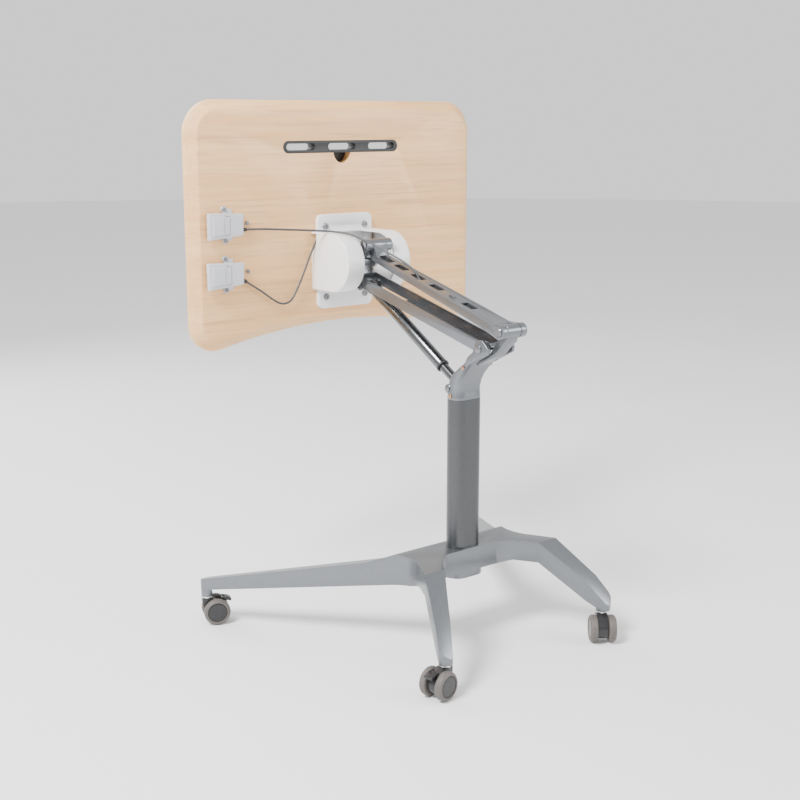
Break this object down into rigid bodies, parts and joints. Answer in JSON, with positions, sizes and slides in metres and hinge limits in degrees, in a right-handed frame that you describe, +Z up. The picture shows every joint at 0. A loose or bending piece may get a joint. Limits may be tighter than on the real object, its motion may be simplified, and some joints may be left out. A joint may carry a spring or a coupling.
{
  "type": "mobile sit-stand laptop desk",
  "caption": "Mobile height-adjustable laptop desk with a tilting wooden top, gas-spring parallelogram arm, column and castered base.",
  "frame": {"origin": "centre of the overall box at floor level", "axes": "+Z up; +X is the side with the release levers; -Y is the user's side, which the upper face of the hanging top faces; the column and rear legs are at +Y"},
  "size_m": [0.7214, 0.6206, 1.01],
  "materials": {
    "frame_paint": "satin silver-grey powder coat",
    "column_paint": "satin dark grey metallic",
    "white_metal": "smooth white powder coat",
    "maple": "light maple veneer, satin",
    "black_plastic": "fine matt black",
    "cover_plastic": "white, soft gloss",
    "lever_plastic": "light grey satin",
    "bright_steel": "polished",
    "dark_steel": "polished dark steel",
    "zinc_screw": "zinc plated",
    "copper_screw": "copper-coloured",
    "bush_plastic": "black bearing plastic",
    "cable_jacket": "smooth dark grey",
    "caster_tread": "soft grey-brown tread",
    "caster_body": "black, slightly glossy"
  },
  "bodies": {
    "base": {"base_casting": "frame_paint", "hub_cover_panel": "frame_paint", "column_tube": "column_paint", "column_bolts": "zinc_screw", "head_casting": "frame_paint", "head_screws": "copper_screw", "upper_head_pin": "zinc_screw", "lower_head_pin": "zinc_screw", "gas_lower_pin": "zinc_screw", "caster_stems": "bright_steel"},
    "upper_arm": {"upper_arm": "frame_paint", "upper_arm_bushes": "bush_plastic"},
    "lower_arm": {"lower_arm": "frame_paint", "lower_arm_bushes": "bush_plastic", "gas_upper_pin": "zinc_screw"},
    "carrier": {"carrier_link": "frame_paint", "carrier_pin": "zinc_screw", "tilt_shaft": "zinc_screw"},
    "tabletop": {"tabletop": "maple", "slot_insert": "black_plastic", "mount_plate": "white_metal", "plate_screws": "zinc_screw", "tilt_bracket": "white_metal", "tilt_cover": "cover_plastic", "lift_lever_base": "lever_plastic", "tilt_lever_base": "lever_plastic", "lever_pins": "zinc_screw", "lever_screws": "zinc_screw", "lift_cable": "cable_jacket", "tilt_cable": "cable_jacket", "cable_ferrules": "black_plastic"},
    "lift_paddle": {"lift_paddle": "lever_plastic"},
    "tilt_paddle": {"tilt_paddle": "lever_plastic"},
    "gas_cylinder": {"gas_cylinder": "dark_steel"},
    "gas_rod": {"gas_rod": "bright_steel", "gas_sleeve": "dark_steel", "sleeve_ring": "black_plastic", "gas_release_head": "dark_steel"},
    "caster_L": {"caster_L_body": "caster_body", "caster_L_axle": "bright_steel"},
    "wheel_L_a": {"caster_L_wheel_a": "caster_tread"},
    "wheel_L_b": {"caster_L_wheel_b": "caster_tread"},
    "brake_L": {"brake_L": "caster_body"},
    "caster_F": {"caster_F_body": "caster_body", "caster_F_axle": "bright_steel"},
    "wheel_F_a": {"caster_F_wheel_a": "caster_tread"},
    "wheel_F_b": {"caster_F_wheel_b": "caster_tread"},
    "brake_F": {"brake_F": "caster_body"},
    "caster_R": {"caster_R_body": "caster_body", "caster_R_axle": "bright_steel"},
    "wheel_R_a": {"caster_R_wheel_a": "caster_tread"},
    "wheel_R_b": {"caster_R_wheel_b": "caster_tread"},
    "caster_B": {"caster_B_body": "caster_body", "caster_B_axle": "bright_steel"},
    "wheel_B_a": {"caster_B_wheel_a": "caster_tread"},
    "wheel_B_b": {"caster_B_wheel_b": "caster_tread"}
  },
  "joints": [
    {"name": "lift", "type": "hinge", "parent": "base", "child": "upper_arm", "pos_m": [0, 0.2047, 0.609], "axis": [-1, 0, 0], "range_deg": [-10, 40], "deforming": ["lift_cable"]},
    {"name": "lower_lift", "type": "hinge", "parent": "base", "child": "lower_arm", "pos_m": [0, 0.1587, 0.574], "axis": [-1, 0, 0], "range_deg": [-10, 40]},
    {"name": "carrier_turn", "type": "hinge", "parent": "upper_arm", "child": "carrier", "pos_m": [0, -0.17572, 0.73261], "axis": [-1, 0, 0], "range_deg": [-40, 10]},
    {"name": "tilt", "type": "hinge", "parent": "carrier", "child": "tabletop", "pos_m": [0, -0.22172, 0.69761], "axis": [-1, 0, 0], "range_deg": [0, 90], "deforming": ["lift_cable"]},
    {"name": "gas_swing", "type": "hinge", "parent": "base", "child": "gas_cylinder", "pos_m": [0, 0.0767, 0.489], "axis": [-1, 0, 0], "range_deg": [-9.94, 39.6]},
    {"name": "gas_stroke", "type": "slide", "parent": "gas_cylinder", "child": "gas_rod", "axis": [0, -0.8564, 0.5163], "range_m": [-0.0201, 0.08]},
    {"name": "lift_lever", "type": "hinge", "parent": "tabletop", "child": "lift_paddle", "pos_m": [0.28, -0.2753, 0.7773], "axis": [0, 0, -1], "range_deg": [0, 5], "stiffness_Nm_per_rad": 0.8, "springref_deg": -2.86},
    {"name": "tilt_lever", "type": "hinge", "parent": "tabletop", "child": "tilt_paddle", "pos_m": [0.28, -0.2753, 0.6843], "axis": [0, 0, -1], "range_deg": [0, 5], "stiffness_Nm_per_rad": 0.8, "springref_deg": -2.86},
    {"name": "swivel_L", "type": "hinge", "parent": "base", "child": "caster_L", "pos_m": [0.344, -0.2833, 0.045], "axis": [0, 0, 1], "continuous": true},
    {"name": "roll_L_a", "type": "hinge", "parent": "caster_L", "child": "wheel_L_a", "pos_m": [0.3283, -0.27678, 0.026], "axis": [0.3836, 0.9235, 0], "continuous": true},
    {"name": "roll_L_b", "type": "hinge", "parent": "caster_L", "child": "wheel_L_b", "pos_m": [0.3283, -0.27678, 0.026], "axis": [0.3836, 0.9235, 0], "continuous": true},
    {"name": "brake_pedal_L", "type": "hinge", "parent": "caster_L", "child": "brake_L", "pos_m": [0.31629, -0.27179, 0.049], "axis": [0.3836, 0.9235, 0], "range_deg": [-8, 0]},
    {"name": "swivel_F", "type": "hinge", "parent": "base", "child": "caster_F", "pos_m": [0.199, 0.2627, 0.045], "axis": [0, 0, 1], "continuous": true},
    {"name": "roll_F_a", "type": "hinge", "parent": "caster_F", "child": "wheel_F_a", "pos_m": [0.21574, 0.26565, 0.026], "axis": [0.1736, -0.9848, 0], "continuous": true},
    {"name": "roll_F_b", "type": "hinge", "parent": "caster_F", "child": "wheel_F_b", "pos_m": [0.21574, 0.26565, 0.026], "axis": [0.1736, -0.9848, 0], "continuous": true},
    {"name": "brake_pedal_F", "type": "hinge", "parent": "caster_F", "child": "brake_F", "pos_m": [0.22854, 0.26791, 0.049], "axis": [0.1736, -0.9848, 0], "range_deg": [-8, 0]},
    {"name": "swivel_R", "type": "hinge", "parent": "base", "child": "caster_R", "pos_m": [-0.199, 0.2627, 0.045], "axis": [0, 0, 1], "continuous": true},
    {"name": "roll_R_a", "type": "hinge", "parent": "caster_R", "child": "wheel_R_a", "pos_m": [-0.18839, 0.27598, 0.026], "axis": [0.7815, -0.6239, 0], "continuous": true},
    {"name": "roll_R_b", "type": "hinge", "parent": "caster_R", "child": "wheel_R_b", "pos_m": [-0.18839, 0.27598, 0.026], "axis": [0.7815, -0.6239, 0], "continuous": true},
    {"name": "swivel_B", "type": "hinge", "parent": "base", "child": "caster_B", "pos_m": [-0.344, -0.2833, 0.045], "axis": [0, 0, 1], "continuous": true},
    {"name": "roll_B_a", "type": "hinge", "parent": "caster_B", "child": "wheel_B_a", "pos_m": [-0.3283, -0.27678, 0.026], "axis": [0.3836, -0.9235, 0], "continuous": true},
    {"name": "roll_B_b", "type": "hinge", "parent": "caster_B", "child": "wheel_B_b", "pos_m": [-0.3283, -0.27678, 0.026], "axis": [0.3836, -0.9235, 0], "continuous": true}
  ],
  "couplings": [
    {"joint": "lower_lift", "follows": "lift", "ratio": 1},
    {"joint": "carrier_turn", "follows": "lift", "ratio": -1},
    {"joint": "gas_swing", "follows": "lift", "ratio": 0.98881},
    {"joint": "gas_stroke", "follows": "lift", "m_per_rad": 0.11432}
  ]
}
